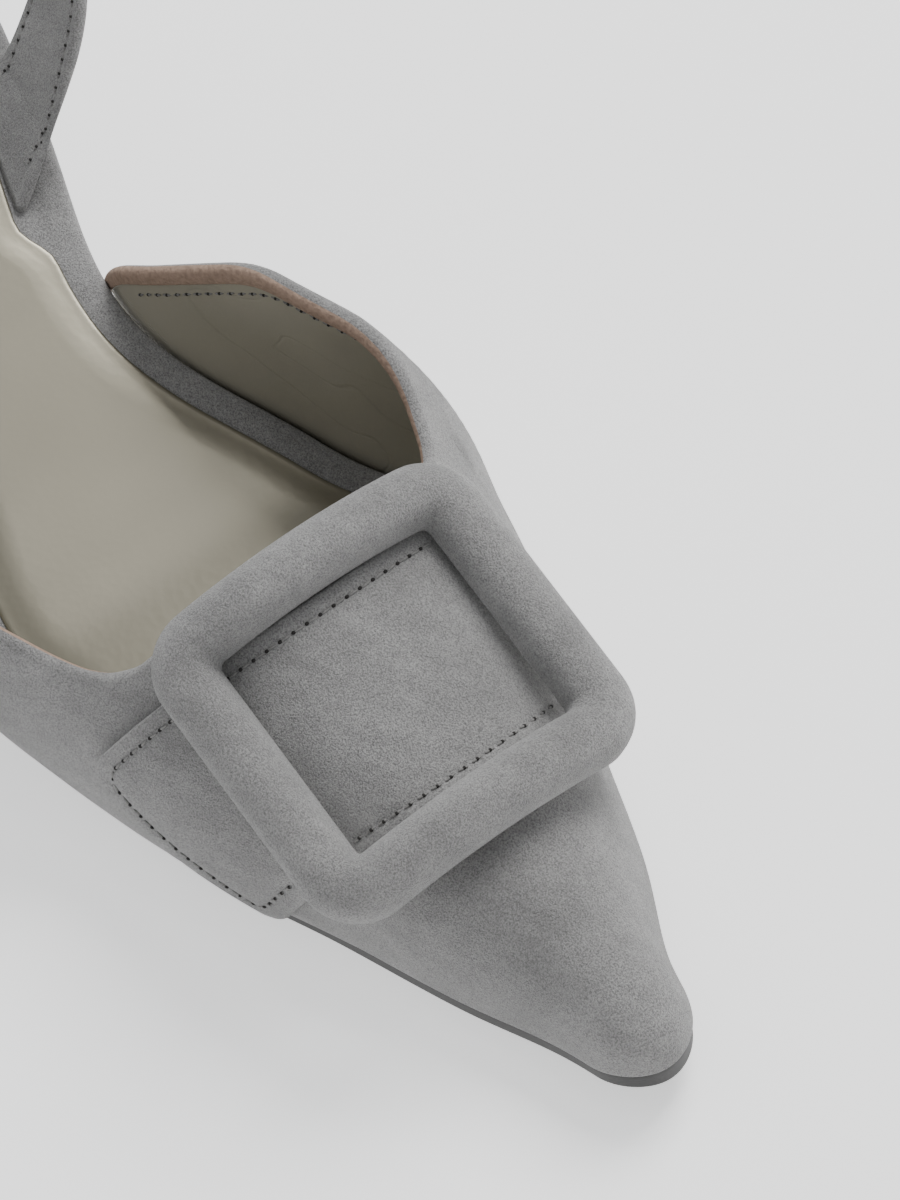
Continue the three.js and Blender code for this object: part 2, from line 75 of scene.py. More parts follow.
# %% Tables of the last, as shares of the driving dimensions
PLAN = {"at": [0, .1, .18, .3, .42, .54, .63, .7, .8, .88, .95, 1],
        "inner": [.35, .36, .345, .266, .163, .317, .45, .413, .303, .217, .12, .085],
        "outer": [.35, .362, .376, .362, .385, .486, .441, .391, .273, .19, .112, .08]}
SPINE = {"at": [0, .10, .20, .30, .40, .50, .58, .65, .80, 1],
         "rise": [1, .945, .840, .670, .450, .220, .060, 0, 0, 0]}
CROWN = {"at": [.36, .5, .58, .66, .72, .78, .84, .9, .95, 1],
         "rise": [2, 1.8, 1.48, 1, .84, .7, .555, .41, .3, .22],
         "inner": [.1, .129, .148, .03, .024, .028, .02, .02, .01, 0],
         "outer": [.1, .143, .187, .128, .12, .123, .043, .02, .01, 0]}
TOP_LINE = {"turn": [0, .06, .12, .2, .28, .35, .4, .45, .53, .68, 1],
            "inner": [.4, .428, .459, .498, .533, .578, .618, .655, .677, .686, .694],
            "outer": [.42, .455, .49, .535, .583, .629, .652, .666, .678, .686, .694]}
STRAP = {"turn": [0, .15, .30, .45, .60, .75, .90, 1],
         "along": [0, .02, .12, .32, .58, .81, .97, 1],
         "rise": [0, .28, .54, .75, .88, .95, .99, 1],
         "out": [0, .400, .720, .930, 1, .840, .410, 0],
         "lean": [0, .12, .34, .62, .86, .97, 1, 1]}


def follow(table, key, column):
    """Smooth monotone curve through one column of a table."""
    at, value = np.array(table[key], float), np.array(table[column], float)
    slope = np.diff(value) / np.diff(at)
    product = slope[:-1] * slope[1:]
    safe = np.where(product > 0, slope[:-1] + slope[1:], 1)
    tangent = np.concatenate(([slope[0]], np.where(product > 0, 2 * product / safe, 0), [slope[-1]]))

    def curve(where):
        where = np.asarray(where, float)
        i = np.clip(np.searchsorted(at, where) - 1, 0, len(at) - 2)
        span = at[i + 1] - at[i]
        t = np.clip((where - at[i]) / span, 0, 1)
        return (value[i] * (1 + 2 * t) * (1 - t) ** 2 + value[i + 1] * t * t * (3 - 2 * t)
                + span * (tangent[i] * t * (1 - t) ** 2 - tangent[i + 1] * t * t * (1 - t)))
    return curve


plan_inner, plan_outer = follow(PLAN, "at", "inner"), follow(PLAN, "at", "outer")
spine_rise = follow(SPINE, "at", "rise")
crown_rise = follow(CROWN, "at", "rise")
swell_inner, swell_outer = follow(CROWN, "at", "inner"), follow(CROWN, "at", "outer")
top_inner, top_outer = follow(TOP_LINE, "turn", "inner"), follow(TOP_LINE, "turn", "outer")
print("tables read:", len(PLAN["at"]), "stations along the last")

# %% [markdown]
# From the tables come the last's own measures at any place along the foot. x runs to the toe,
# and side is +1 on the inner side of the foot and -1 on the outer side.

# %% Measures of the last
def x_at(share):
    return share * LENGTH - HEEL_TIP_INSET


def share_at(x):
    return (np.asarray(x, float) + HEEL_TIP_INSET) / LENGTH


def round_end(distance, reach):
    """0 at a round end, 1 past its reach, along a quarter ellipse."""
    return np.sqrt(1 - (1 - np.clip(np.asarray(distance, float) / reach, 0, 1)) ** 2)


def smooth(value, low, high):
    """0 below low, 1 above high, smooth between."""
    t = np.clip((np.asarray(value, float) - low) / (high - low), 0, 1)
    return t * t * (3 - 2 * t)


def half_width(x, side):
    along = share_at(x) * LENGTH
    share = np.where(np.asarray(side) > 0, plan_inner(share_at(x)), plan_outer(share_at(x)))
    return share * BALL_WIDTH * round_end(along, HEEL_ROUND) * round_end(LENGTH - along, TOE_ROUND)


def sole_low(x):
    spring = np.maximum(0, share_at(x) - SPRING_START) / (1 - SPRING_START)
    return spine_rise(share_at(x)) * (HEEL_HEIGHT - SOLE_THICK - GAP) + TOE_SPRING * spring ** 2


def board_low(x):
    return sole_low(x) + SOLE_THICK + GAP


def board_high(x):
    return board_low(x) + INSOLE_THICK


def wall_swell(x, side):
    """How far the wall leans out over its foot, as a share of its half width."""
    return np.where(np.asarray(side) > 0, swell_inner(share_at(x)), swell_outer(share_at(x)))


def crown_height(x):
    to_tip = x_at(1) - np.asarray(x, float)
    return crown_rise(share_at(x)) * INSTEP_HEIGHT * round_end(to_tip, NOSE_ROUND)


def moved_in(curve, start, end, distance, count=160):
    """A curve over x moved inwards by a distance, looked up by x."""
    x = start + (end - start) * (1 - np.cos(np.pi * np.arange(count + 1) / count)) / 2
    y = curve(x)
    tx, ty = np.gradient(x), np.gradient(y)
    size = np.hypot(tx, ty)
    new_x, new_y = x + distance * ty / size, y - distance * tx / size
    new_x[0], new_x[-1], new_y[0], new_y[-1] = start + distance, end - distance, 0, 0
    keep = np.concatenate(([True], new_x[1:] > np.maximum.accumulate(new_x)[:-1]))
    kept_x, kept_y = new_x[keep], np.maximum(0, new_y[keep])
    return lambda where: np.interp(where, kept_x, kept_y, left=0, right=0)


def plan_inside(distance):
    """Half width of a plan that lies a distance inside the upper's foot."""
    inner = moved_in(lambda x: half_width(x, 1), x_at(0), x_at(1), distance)
    outer = moved_in(lambda x: half_width(x, -1), x_at(0), x_at(1), distance)
    return lambda x, side: np.where(np.asarray(side) > 0, inner(x), outer(x))


inside_plan = plan_inside(WALL)
VAMP_START = 0.3
inside_crown = moved_in(crown_height, x_at(VAMP_START), x_at(1), WALL)
ball_sides = [float(half_width(x_at(PLAN["at"][6]), side)) for side in (1, -1)]
print("ball", round(sum(ball_sides), 1), "mm wide")

# %% [markdown]
# The vamp's section is a superellipse that stands on its foot. turn runs from 0 at the outer foot
# over the top to 1 at the inner foot, so turn and x together are coordinates on the vamp, and the
# belt, the stitches and the folds are all placed by them.

# %% Points on the vamp
def points(x, y, z):
    return np.stack(np.broadcast_arrays(np.asarray(x, float), y, z), axis=-1)


def section_point(x, turn, half, crown):
    angle = np.pi * np.asarray(turn, float)
    side = np.where(np.asarray(turn) < 0.5, -1, 1)
    across = np.abs(np.cos(angle)) ** (2 / SECTION_POWER)
    up = np.clip(np.sin(angle), 0, 1) ** (2 / SECTION_POWER)
    swell = 1 + wall_swell(x, side) * np.sin(np.pi * up ** SWELL_SHAPE)
    return points(x, side * half(x, side) * across * swell, board_low(x) + crown(x) * up)


def outer_face(x, turn, lift=0):
    """A point a lift off the vamp's outside."""
    return section_point(x, turn, lambda a, s: half_width(a, s) + lift,
                         lambda a: crown_height(a) + lift)


def inner_face(x, turn, fold=0):
    """A point on the vamp's inside, a fold further in."""
    return section_point(x, turn, lambda a, s: np.maximum(0, inside_plan(a, s) - fold),
                         lambda a: np.maximum(0, inside_crown(a) - fold))


def turn_from_foot(turn):
    """0 at either foot of the section, 1 at its top."""
    return 1 - np.abs(1 - 2 * np.asarray(turn, float))


def top_line_at(turn):
    up = turn_from_foot(turn)
    return np.where(np.asarray(turn) < 0.5, top_outer(up), top_inner(up))


def vamp_height(x, y, lift=0):
    """Height of the vamp over the floor at x and y."""
    side = np.where(y < 0, -1, 1)
    half = (half_width(x, side) + lift) * (1 + wall_swell(x, side))
    share = np.minimum(1, np.abs(y) / half)
    up = (1 - share ** SECTION_POWER) ** (1 / SECTION_POWER)
    return board_low(x) + (crown_height(x) + lift) * up


throat = outer_face(x_at(TOP_LINE["inner"][-1]), .5)
print("throat", round(float(throat[2]), 1), "mm over the floor")

# %% [markdown]
# Most pieces are nets: a grid of points that one function or loop works out, closed where it
# should be closed. This helper turns a net into a mesh in metres, merges the points that meet at
# poles and seams, and makes all faces look outwards.

# %% Net to mesh
WELD, SLIVER = 2e-6, 1e-7


def net(name, grid, wrap=(False, False), paired=False, finish=None):
    """grid is rows by columns by xyz, in mm. wrap closes it along rows or columns. paired joins
    each row's first half to its second half at both ends of the net."""
    rows, columns = grid.shape[:2]
    index = np.arange(rows * columns).reshape(rows, columns)
    down = np.roll(index, -1, 0) if wrap[0] else index[1:]
    here = index if wrap[0] else index[:-1]
    if not wrap[1]:
        quads = np.stack([here[:, :-1], here[:, 1:], down[:, 1:], down[:, :-1]], -1)
    else:
        quads = np.stack([here, np.roll(here, -1, 1), np.roll(down, -1, 1), down], -1)
    marks = np.zeros(quads.shape[:2], int)
    if finish is not None:
        marks[:] = finish[:quads.shape[1]]
    quads, marks = quads.reshape(-1, 4), marks.reshape(-1)
    if paired:
        half = columns // 2
        k = np.arange(half - 1)
        ends = [np.stack([e[k], e[columns - 1 - k], e[columns - 2 - k], e[k + 1]], -1)
                for e in (index[0], index[-1])]
        quads = np.concatenate([quads, *ends])
        marks = np.concatenate([marks, np.zeros(2 * (half - 1), int)])
    mesh = bpy.data.meshes.new(name)
    mesh.from_pydata((grid.reshape(-1, 3) * MM).tolist(), [], quads.tolist())
    mesh.polygons.foreach_set("material_index", marks.astype(np.int32))
    work = bmesh.new()
    work.from_mesh(mesh)
    bmesh.ops.remove_doubles(work, verts=work.verts, dist=WELD)
    bmesh.ops.dissolve_degenerate(work, edges=work.edges, dist=SLIVER)
    bmesh.ops.recalc_face_normals(work, faces=work.faces)
    open_edges = sum(len(e.link_faces) != 2 for e in work.edges)
    for face in work.faces:
        face.smooth = True
    work.to_mesh(mesh)
    work.free()
    piece = bpy.data.objects.new(name, mesh)
    bpy.context.scene.collection.objects.link(piece)
    print(name, len(mesh.polygons), "faces, open edges", open_edges)
    return piece


def dress(piece, materials, node):
    """Gives a piece its finishes, lets it ride and hides the CAD node that it stands for."""
    for material in materials:
        piece.data.materials.append(material)
    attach(piece, "root")
    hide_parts(node)

# %% [markdown]
# The camera comes early, so that every later piece can be looked at. It stands where the
# photograph was taken from, fitted to the sole's edge, the top line and the buckle, and it is
# rolled as the photographer held it. The fitted axis misses the photograph's middle, so the camera
# is turned to look at the middle.

# %% Camera
# Angles in degrees, distance and target in mm, and the rest in pixels of the photograph
CAMERA = {"turn": 73.8, "height": 49.3, "roll": -21.1, "distance": 656, "focal": 4968,
          "axis": (204.1, 529.9), "image": (900, 1200), "target": (111.7, 0, 15)}


def camera_axes():
    """The photograph's back, right and up directions."""
    turn, height, roll = (math.radians(CAMERA[k]) for k in ("turn", "height", "roll"))
    flat = math.cos(height)
    back = Vector((math.sin(turn) * flat, -math.cos(turn) * flat, math.sin(height)))
    right = Vector((math.cos(turn), math.sin(turn), 0))
    up = back.cross(right)
    rolled_right = right * math.cos(roll) + up * math.sin(roll)
    rolled_up = up * math.cos(roll) - right * math.sin(roll)
    return back, rolled_right, rolled_up


SENSOR = 36


back, right, up = camera_axes()
middle = [side / 2 for side in CAMERA["image"]]
look = (-back * CAMERA["focal"] + right * (middle[0] - CAMERA["axis"][0])
        - up * (middle[1] - CAMERA["axis"][1]))
focal_reach = look.length
look.normalize()
level = (up - look * up.dot(look)).normalized()
lens = bpy.data.cameras.new("photograph_camera")
lens.sensor_width = SENSOR
lens.lens = SENSOR * focal_reach / max(CAMERA["image"])
lens.clip_start, lens.clip_end = 0.05, 20
camera = bpy.data.objects.new("photograph_camera", lens)
camera.location = (Vector(CAMERA["target"]) + back * CAMERA["distance"]) * MM
camera.rotation_mode = "QUATERNION"
sideways = look.cross(level)
camera.rotation_quaternion = Matrix((sideways, level, -look)).transposed().to_quaternion()
bpy.context.scene.collection.objects.link(camera)
bpy.context.scene.camera = camera
print("camera at", [round(v, 3) for v in camera.location], "lens", round(lens.lens, 1))

# %% [markdown]
# A pale floor and soft studio light. One large soft light hangs on the inner side of the shoe, so
# the toe and the far ridges are light and the near side falls into a soft shade, as in the photo.
# A small one hangs where the sock mirrors it into the camera. The floor glows a little, because
# the photograph's ground is nearly white and its shadows are faint.

# %% Floor and light
# Place, target and size in metres, and power in watts
SOFTBOXES = {"key_softbox": ((-0.12, 0.78, 1.10), (0.13, 0, 0.02), (0.7, 0.7), 19),
             "sock_softbox": ((0.30, 0.20, 1.2), (0.11, 0, 0.02), (0.12, 0.12), 0.45),
             "near_fill": ((0.3, -1.1, 0.8), (0.12, 0, 0.02), (1.0, 0.6), 0.2)}
FLOOR_COLOUR, FLOOR_ROUGH, FLOOR_SIZE = (0.90, 0.90, 0.895, 1), 0.9, 8
FLOOR_GLOW, FLOOR_GLOW_COLOUR = 0.84, (1, 1, 1, 1)
AIR_COLOUR, AIR_STRENGTH = (0.95, 0.97, 1.0, 1), 0.50


def area_light(name, place, target, size, power):
    lamp = bpy.data.lights.new(name, "AREA")
    lamp.shape, lamp.size, lamp.size_y = "RECTANGLE", size[0], size[1]
    lamp.energy = power
    light = bpy.data.objects.new(name, lamp)
    light.location = place
    light.rotation_mode = "QUATERNION"
    light.rotation_quaternion = (Vector(target) - Vector(place)).to_track_quat("-Z", "Y")
    bpy.context.scene.collection.objects.link(light)


bpy.ops.mesh.primitive_plane_add(size=FLOOR_SIZE, location=(0.1, 0, 0))
floor = bpy.context.object
floor.name = "studio_floor"
floor_paint = bpy.data.materials.new("studio_floor")
floor_paint.use_nodes = True
floor_shader = floor_paint.node_tree.nodes["Principled BSDF"]
floor_shader.inputs["Base Color"].default_value = FLOOR_COLOUR
floor_shader.inputs["Roughness"].default_value = FLOOR_ROUGH
floor_shader.inputs["Emission Color"].default_value = FLOOR_GLOW_COLOUR
floor_shader.inputs["Emission Strength"].default_value = FLOOR_GLOW
floor.data.materials.append(floor_paint)

world = bpy.data.worlds.new("studio_air")
bpy.context.scene.world = world
world.use_nodes = True
world.node_tree.nodes["Background"].inputs["Color"].default_value = AIR_COLOUR
world.node_tree.nodes["Background"].inputs["Strength"].default_value = AIR_STRENGTH
for softbox, settings in SOFTBOXES.items():
    area_light(softbox, *settings)
print("floor, air and", len(SOFTBOXES), "lights")

# %% [markdown]
# Suede is split leather with a raised nap. Close to, it is a matt velvet of short fibres: fine
# mottling in colour, a soft sheen at grazing angles, and lighter rubbed ridges. Noise at three
# scales gives the cloudiness, the nap's streaks and the fibres, and the sheen sits on the shader.

# %% Suede
SUEDE_ROUGH, SUEDE_SHEEN, SHEEN_ROUGH = 0.95, 0.35, 0.45
CLOUD_SCALE, STREAK_SCALE, FIBRE_SCALE = 48, 330, 4300


def new_finish(name, rough, sheen=0.0, metal=0.0):
    material = bpy.data.materials.new(name)
    material.use_nodes = True
    shader = material.node_tree.nodes["Principled BSDF"]
    shader.inputs["Roughness"].default_value = rough
    shader.inputs["Metallic"].default_value = metal
    shader.inputs["Sheen Weight"].default_value = sheen
    shader.inputs["Sheen Roughness"].default_value = SHEEN_ROUGH
    return material, material.node_tree.nodes, material.node_tree.links, shader


def noise(nodes, links, place, scale, detail=2.0, rough=0.5, stretch=None):
    """Noise per metre. stretch is a turn and a scale for each axis."""
    texture = nodes.new("ShaderNodeTexNoise")
    texture.inputs["Scale"].default_value = scale
    texture.inputs["Detail"].default_value = detail
    texture.inputs["Roughness"].default_value = rough
    if stretch:
        mapping = nodes.new("ShaderNodeMapping")
        mapping.vector_type = "TEXTURE"
        mapping.inputs["Rotation"].default_value = stretch[0]
        mapping.inputs["Scale"].default_value = stretch[1]
        links.new(place, mapping.inputs["Vector"])
        place = mapping.outputs["Vector"]
    links.new(place, texture.inputs["Vector"])
    return texture.outputs["Fac"]


def ramp(nodes, links, source, stops):
    """Colours a value between stops, each a position and a colour."""
    colours = nodes.new("ShaderNodeValToRGB")
    colours.color_ramp.elements[0].position, colours.color_ramp.elements[0].color = stops[0]
    colours.color_ramp.elements[1].position, colours.color_ramp.elements[1].color = stops[-1]
    for position, colour in stops[1:-1]:
        colours.color_ramp.elements.new(position).color = colour
    links.new(source, colours.inputs["Fac"])
    return colours.outputs["Color"]


def mixed(nodes, links, kind, amount, first, second):
    mix = nodes.new("ShaderNodeMix")
    mix.data_type, mix.blend_type = "RGBA", kind
    mix.inputs["Factor"].default_value = amount
    for socket, value in ((mix.inputs["A"], first), (mix.inputs["B"], second)):
        if isinstance(value, tuple):
            socket.default_value = value
        else:
            links.new(value, socket)
    return mix.outputs["Result"]


def raised(nodes, links, source, strength, distance, under=None):
    """A bump on top of the bump under it."""
    bump = nodes.new("ShaderNodeBump")
    bump.inputs["Strength"].default_value = strength
    bump.inputs["Distance"].default_value = distance
    links.new(source, bump.inputs["Height"])
    if under:
        links.new(under, bump.inputs["Normal"])
    return bump.outputs["Normal"]


def grey(value, warm=0.0):
    return (value * (1 + warm), value, value * (1 - warm), 1)


def suede(name, tone):
    material, nodes, links, shader = new_finish(name, SUEDE_ROUGH, sheen=SUEDE_SHEEN)
    place = nodes.new("ShaderNodeTexCoord").outputs["Object"]
    clouds = noise(nodes, links, place, CLOUD_SCALE, 4, 0.55)
    streaks = noise(nodes, links, place, STREAK_SCALE, 3, 0.6, ((0, 0, 0.5), (2.0, 0.8, 0.8)))
    fibres = noise(nodes, links, place, FIBRE_SCALE, 3, 0.7)
    dark, light = grey(tone * 0.80, .02), grey(tone * 1.16, .02)
    base = ramp(nodes, links, clouds, [(0.32, dark), (0.68, light)])
    nap = ramp(nodes, links, streaks, [(0.3, grey(0.76)), (0.7, grey(1.0))])
    grain = ramp(nodes, links, fibres, [(0.34, grey(0.30)), (0.62, grey(1.0))])
    brushed = mixed(nodes, links, "MULTIPLY", 0.80, base, nap)
    colour = mixed(nodes, links, "MULTIPLY", 0.85, brushed, grain)
    links.new(colour, shader.inputs["Base Color"])
    soft = raised(nodes, links, streaks, 0.30, 0.0008)
    links.new(raised(nodes, links, fibres, 0.8, 0.0005, soft), shader.inputs["Normal"])
    return material


SUEDE_TONE = 0.44
upper_suede = suede("grey_suede", SUEDE_TONE)
print("suede ready")

# %% [markdown]
# The lining is a thin greige leather, glued over the wall and pulled into fine diagonal creases, with
# thin lines of painted shade along the creases.
# The sock is a pearly metallic leather, smooth, with a fine grain.
# The sole's edge is inked black, the top lift is rubber, and the cut edge of the suede is brownish.
# The thread is grey like the suede, and small dark beads between its stitches are painted shade for the
# inside of the needle's holes.

# %% Lining, sock, edges and thread
LINING_DARK, LINING_LIGHT = (0.34, 0.318, 0.252, 1), (0.42, 0.394, 0.318, 1)
SOCK_DARK, SOCK_LIGHT = (0.225, 0.208, 0.160, 1), (0.265, 0.246, 0.192, 1)
SOCK_ROUGH, SOCK_METAL, SOCK_PEBBLES = 0.30, 0.72, 900


def lining_leather():
    material, nodes, links, shader = new_finish("greige_lining", 0.55)
    place = nodes.new("ShaderNodeTexCoord").outputs["Object"]
    clouds = noise(nodes, links, place, 45, 2)
    creases = noise(nodes, links, place, 120, 1, 0.4, ((0, 0.38, 0), (7.0, 1.0, 1.0)))
    lines = ramp(nodes, links, creases, [(0.485, grey(1)), (0.5, grey(0.25)), (0.515, grey(1))])
    base = ramp(nodes, links, clouds, [(0.3, LINING_DARK), (0.7, LINING_LIGHT)])
    # Painted shade: thin dark lines along the creases are mixed lightly into the lining's colour, and
    # the same lines also bump it.
    links.new(mixed(nodes, links, "MULTIPLY", 0.08, base, lines), shader.inputs["Base Color"])
    pores = noise(nodes, links, place, 1600, 2)
    soft = raised(nodes, links, lines, 0.22, 0.0004)
    links.new(raised(nodes, links, pores, 0.2, 0.0002, soft), shader.inputs["Normal"])
    return material


def sock_leather():
    material, nodes, links, shader = new_finish("pearly_sock_leather", SOCK_ROUGH, metal=SOCK_METAL)
    place = nodes.new("ShaderNodeTexCoord").outputs["Object"]
    clouds = noise(nodes, links, place, 30, 2)
    base = ramp(nodes, links, clouds, [(0.3, SOCK_DARK), (0.7, SOCK_LIGHT)])
    links.new(base, shader.inputs["Base Color"])
    pebbles = nodes.new("ShaderNodeTexVoronoi")
    pebbles.inputs["Scale"].default_value = SOCK_PEBBLES
    links.new(place, pebbles.inputs["Vector"])
    waves = noise(nodes, links, place, 70, 3)
    pull = noise(nodes, links, place, 420, 3, 0.6)
    first = raised(nodes, links, waves, 0.05, 0.0004)
    second = raised(nodes, links, pull, 0.03, 0.0002, first)
    third = raised(nodes, links, pebbles.outputs["Distance"], 0.10, 0.00008, second)
    links.new(third, shader.inputs["Normal"])
    return material


def plain(name, colour, rough, scale, depth):
    material, nodes, links, shader = new_finish(name, rough)
    place = nodes.new("ShaderNodeTexCoord").outputs["Object"]
    grain = noise(nodes, links, place, scale, 3)
    darker = tuple(c * 0.7 for c in colour) + (1,)
    base = ramp(nodes, links, grain, [(0.3, darker), (0.7, colour + (1,))])
    links.new(base, shader.inputs["Base Color"])
    links.new(raised(nodes, links, grain, 0.5, depth), shader.inputs["Normal"])
    return material


lining = lining_leather()
sock_finish = sock_leather()
raw_edge = plain("cut_suede_edge", (0.44, 0.31, 0.235), 0.95, 1500, 0.0006)
sole_black = plain("black_sole_edge", (0.022, 0.021, 0.020), 0.55, 700, 0.0002)
lift_rubber = plain("top_lift_rubber", (0.016, 0.016, 0.016), 0.7, 1200, 0.0002)
thread = plain("grey_thread", (0.27, 0.265, 0.255), 0.85, 2500, 0.0001)
# Painted shade: the dark beads between the stitches stand for the shade inside the needle's holes.
hole_shade_finish = plain("painted_hole_shade", (0.030, 0.028, 0.026), 0.95, 2500, 0.0001)
print("6 more finishes ready")

# %% [markdown]
# The upper is one wall of suede and lining. Its top edge is turned over: the suede rolls round the
# edge, ends in a cut edge on the inside, and the lining starts below it. Each column of the net
# follows one turn of the section from the toe tip along the outside, over the rim and back inside.

# %% Upper
CUT_EDGE, CUT_SOFT, FOLD = 1.0, 0.12, 0.45
RIM_STEPS, RIM_SUEDE, FLATTEST = 10, 4, 0.35
NEAR_RIM = np.array([0, .25, .5, .75, .9, 1.02, 1.15, 1.5, 2.0, 2.6, 3.3, 4.2, 5.2, 6.5, 8.0])


def rim_spread(turn):
    """How many mm of x it takes to go 1 mm away from the top line, on the vamp."""
    edge = x_at(top_line_at(turn))
    rim = outer_face(edge, turn)
    along_rim = np.gradient(rim, axis=0)
    along_x = outer_face(edge + 1, turn) - rim
    crossed = np.linalg.norm(np.cross(along_rim, along_x), axis=1)
    sine = crossed / np.linalg.norm(along_rim, axis=1) / np.linalg.norm(along_x, axis=1)
    return 1 / np.clip(sine, FLATTEST, 1)


def station(edge, wide, distance):
    """x of the place that lies a distance in front of the top line."""
    return edge + wide * distance


def upper_net(turns=190, steps=80):
    turn = np.linspace(0, 1, turns + 1)
    edge, wide = x_at(top_line_at(turn)), rim_spread(turn)
    far = station(edge, wide, NEAR_RIM[-1])
    outside, inside, slots = [], [], []
    for distance in NEAR_RIM:
        fold = FOLD * (1 - smooth(distance, CUT_EDGE - CUT_SOFT, CUT_EDGE + CUT_SOFT))
        outside.append(outer_face(station(edge, wide, distance), turn))
        inside.append(inner_face(station(edge, wide, distance), turn, fold))
        slots.append(1 if distance < CUT_EDGE else 2)
    for step in range(1, steps + 1):
        t = math.sin(math.pi / 2 * step / steps)
        outside.append(outer_face(far + (x_at(1) - far) * t, turn))
        inside.append(inner_face(far + (x_at(1) - WALL - far) * t, turn))
        slots.append(2)
    rim_out, rim_in = outside[0], inside[0]
    across = rim_out - rim_in
    radius = np.linalg.norm(across, axis=1, keepdims=True) / 2
    normal = across / (2 * radius)
    away = np.cross(np.gradient(rim_out, axis=0), normal)
    away /= np.linalg.norm(away, axis=1, keepdims=True)
    away *= np.sign(((rim_out - outside[3]) * away).sum(1, keepdims=True))
    arc = [(rim_out + rim_in) / 2 + radius * (normal * math.cos(a) + away * math.sin(a))
           for a in np.linspace(0, math.pi, RIM_STEPS)[1:-1]]
    columns = outside[::-1] + arc + inside
    marks = [0] * (len(outside) - 1 + RIM_SUEDE) + [1] * (len(arc) + 1 - RIM_SUEDE) + slots[:-1]
    return np.stack(columns, axis=1), np.array(marks)


upper_grid, upper_marks = upper_net()
upper = net("upper_suede_vamp", upper_grid, paired=True, finish=upper_marks)
dress(upper, [upper_suede, raw_edge, lining], "upper")

# %% [markdown]
# The insole is a board wrapped in suede. Its margin stands up a little as a soft rounded welt, and
# the sock is glued inside the welt. Both are plates along the foot, so one function makes them from
# a half width and the height of their top at any distance from the edge.

# %% Plates along the foot
UNDERSIDE = ((-1, 1), (-1, .97), (-1, .5), (1, 0), (1, .5), (1, .97), (1, 1))


def spread(start, end, count):
    return start + (end - start) * (1 - np.cos(np.pi * np.arange(count + 1) / count)) / 2


def plate(name, start, end, half, low, top, edge_rows, stations=200, across=28):
    """top gives the height of the upper face at x and a distance from the edge."""
    x = spread(start, end, stations)
    sides = {side: half(x, side) for side in (-1, 1)}
    edge = [(distance, 1) for distance in edge_rows]
    inward = edge + [(edge_rows[-1], 1 - k / (across // 2)) for k in range(1, across // 2 + 1)]

    def row(side, distance, share):
        kept = np.maximum(0, sides[side] - distance) * share
        return points(x, side * kept, top(x, sides[side] - kept))
    ring = [points(x, side * sides[side] * share, low(x)) for side, share in UNDERSIDE]
    ring += [row(1, *place) for place in inward]
    ring += [row(-1, *place) for place in inward[::-1][1:]]
    return net(name, np.stack(ring, axis=1), wrap=(False, True))


def insole_half():
    """The insole's half width, which under the vamp stays clear of the wall, and its end."""
    plan = plan_inside(WALL + GAP)
    end = x_at(1) - NOSE_ROUND

    def half(x, side):
        lift = np.minimum(1, INSOLE_THICK / np.maximum(INSOLE_THICK, inside_crown(x)))
        across = (1 - lift ** SECTION_POWER) ** (1 / SECTION_POWER)
        under_vamp = np.minimum(plan(x, side), np.maximum(0, inside_plan(x, side) * across - GAP))
        limit = np.where(share_at(x) < CROWN["at"][1], plan(x, side), under_vamp)
        return limit * round_end(end - x, TOE_ROUND)
    return half, end


half_insole, insole_end = insole_half()
EDGE_ROUND, WELT_HIGH, WELT_INSIDE = 1.5, 0.35, 3.2
insole_rows = np.array([0, .06, .2, .4, .7, 1.1, 1.5, 2.0, 2.6, 3.2, 3.8, 4.3, 4.8, 5.5])


def insole_top(x, distance):
    drop = EDGE_ROUND * (1 - round_end(distance, EDGE_ROUND))
    welt = WELT_HIGH * (1 - smooth(distance, WELT_INSIDE, SOCK_MARGIN + GAP))
    return board_high(x) - drop + welt


insole = plate("insole_suede_wrap", x_at(0) + WALL + GAP, insole_end, half_insole, board_low,
               insole_top, insole_rows)
dress(insole, [upper_suede], "insole")

# %% [markdown]
# The sock's edge is thin and sinks beside the welt. Along the strap's roots it draws in, because
# the straps come up out of the gap between sock and welt.

# %% Sock
root_x = x_at(STRAP_ROOT_AT)
sock_plan = plan_inside(WALL + GAP + SOCK_MARGIN)
NOTCH = STRAP_INSET - SOCK_MARGIN + STRAP_THICK / 2 + 2 * GAP
sock_end = x_at(1) - NOSE_ROUND - 3 * SOCK_MARGIN
sock_rows = np.array([0, .04, .12, .25, .45, .8, 1.3, 2.0, 3.0, 4.5])
SOCK_BED, SOCK_EDGE, EDGE_SHARE = 0.1, 0.12, 0.45


def half_sock(x, side):
    away = np.abs(x - root_x) - STRAP_ROOT / 2
    beside = 1 - smooth(away, GAP, GAP + 2 * NOTCH)
    return (sock_plan(x, side) - NOTCH * beside) * round_end(sock_end - x, TOE_ROUND)


def sock_top(x, distance):
    swollen = EDGE_SHARE * round_end(distance, .5) + (1 - EDGE_SHARE) * smooth(distance, 0, 5)
    return board_high(x) + SOCK_EDGE + (SOCK_THICK - SOCK_EDGE) * swollen


sock = plate("metallic_sock", x_at(0) + WALL + GAP + SOCK_MARGIN, sock_end, half_sock,
             lambda x: board_high(x) + SOCK_BED, sock_top, sock_rows)
dress(sock, [sock_finish], "sock_lining")

# %% [markdown]
# The outsole is a thin plate under it all, from the heel's breast to the toe. At the waist it draws
# in under the insole. Only its inked black edge shows.

# %% Outsole
forefoot_plan, waist_plan = plan_inside(SOLE_REVEAL), plan_inside(WALL + GAP + 2 * SOLE_REVEAL)
sole_rows = np.array([0, .05, .15, .3, .6, 1.0, 2.0])
SOLE_ROUND = 0.5


